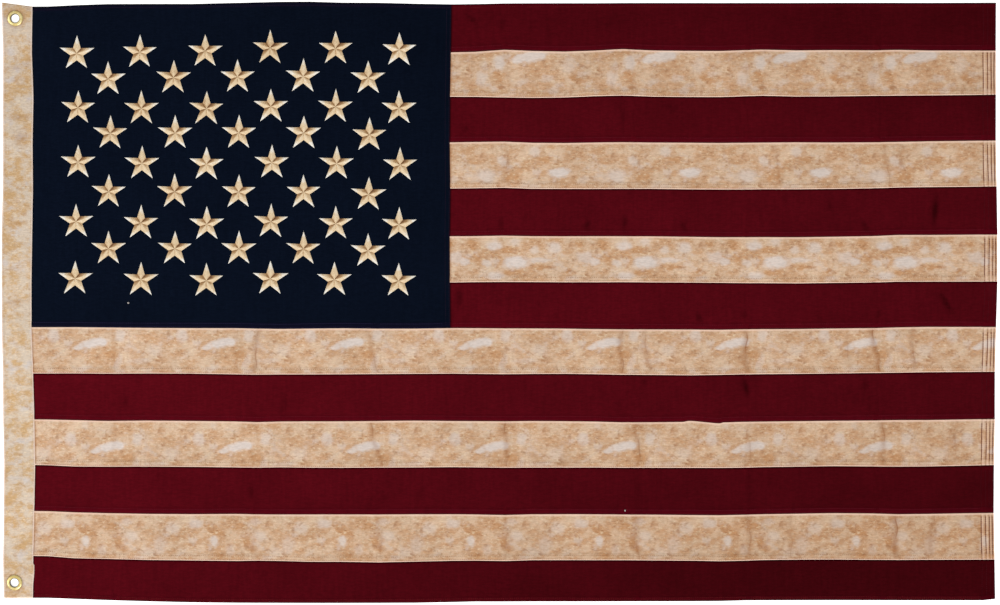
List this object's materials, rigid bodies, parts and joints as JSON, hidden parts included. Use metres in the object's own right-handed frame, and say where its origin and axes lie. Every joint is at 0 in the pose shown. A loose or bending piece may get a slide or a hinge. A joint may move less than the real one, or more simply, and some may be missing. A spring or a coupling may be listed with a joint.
{
  "type": "tea-stained sewn cotton flag",
  "caption": "Sewn cotton flag lying flat: star-embroidered dark canton, maroon and tan stripes with felled seams, canvas heading with brass grommets.",
  "frame": {"origin": "centre of the flag's outline, on the surface it lies on", "axes": "+X along the fly away from the heading, +Y up the hoist, +Z out of the face"},
  "size_m": [1.524, 0.92, 0.0058],
  "materials": {
    "navy_cotton": "dark navy plain-weave cotton, matt, slightly faded",
    "maroon_cotton": "dark maroon plain-weave cotton, matt",
    "tan_cotton": "cotton tea-stained to a mottled tan with soft pale patches",
    "heading_canvas": "tea-stained canvas, matt",
    "brass": "polished rolled brass with light tarnish"
  },
  "bodies": {
    "root": {"heading": "heading_canvas", "canton": "navy_cotton", "stripe_01": "maroon_cotton", "stripe_02": "tan_cotton", "stripe_03": "maroon_cotton", "stripe_04": "tan_cotton", "stripe_05": "maroon_cotton", "stripe_06": "tan_cotton", "stripe_07": "maroon_cotton", "stripe_08": "tan_cotton", "stripe_09": "maroon_cotton", "stripe_10": "tan_cotton", "stripe_11": "maroon_cotton", "stripe_12": "tan_cotton", "stripe_13": "maroon_cotton", "eyelet_top": "brass", "washer_top": "brass", "eyelet_bottom": "brass", "washer_bottom": "brass"}
  },
  "joints": []
}
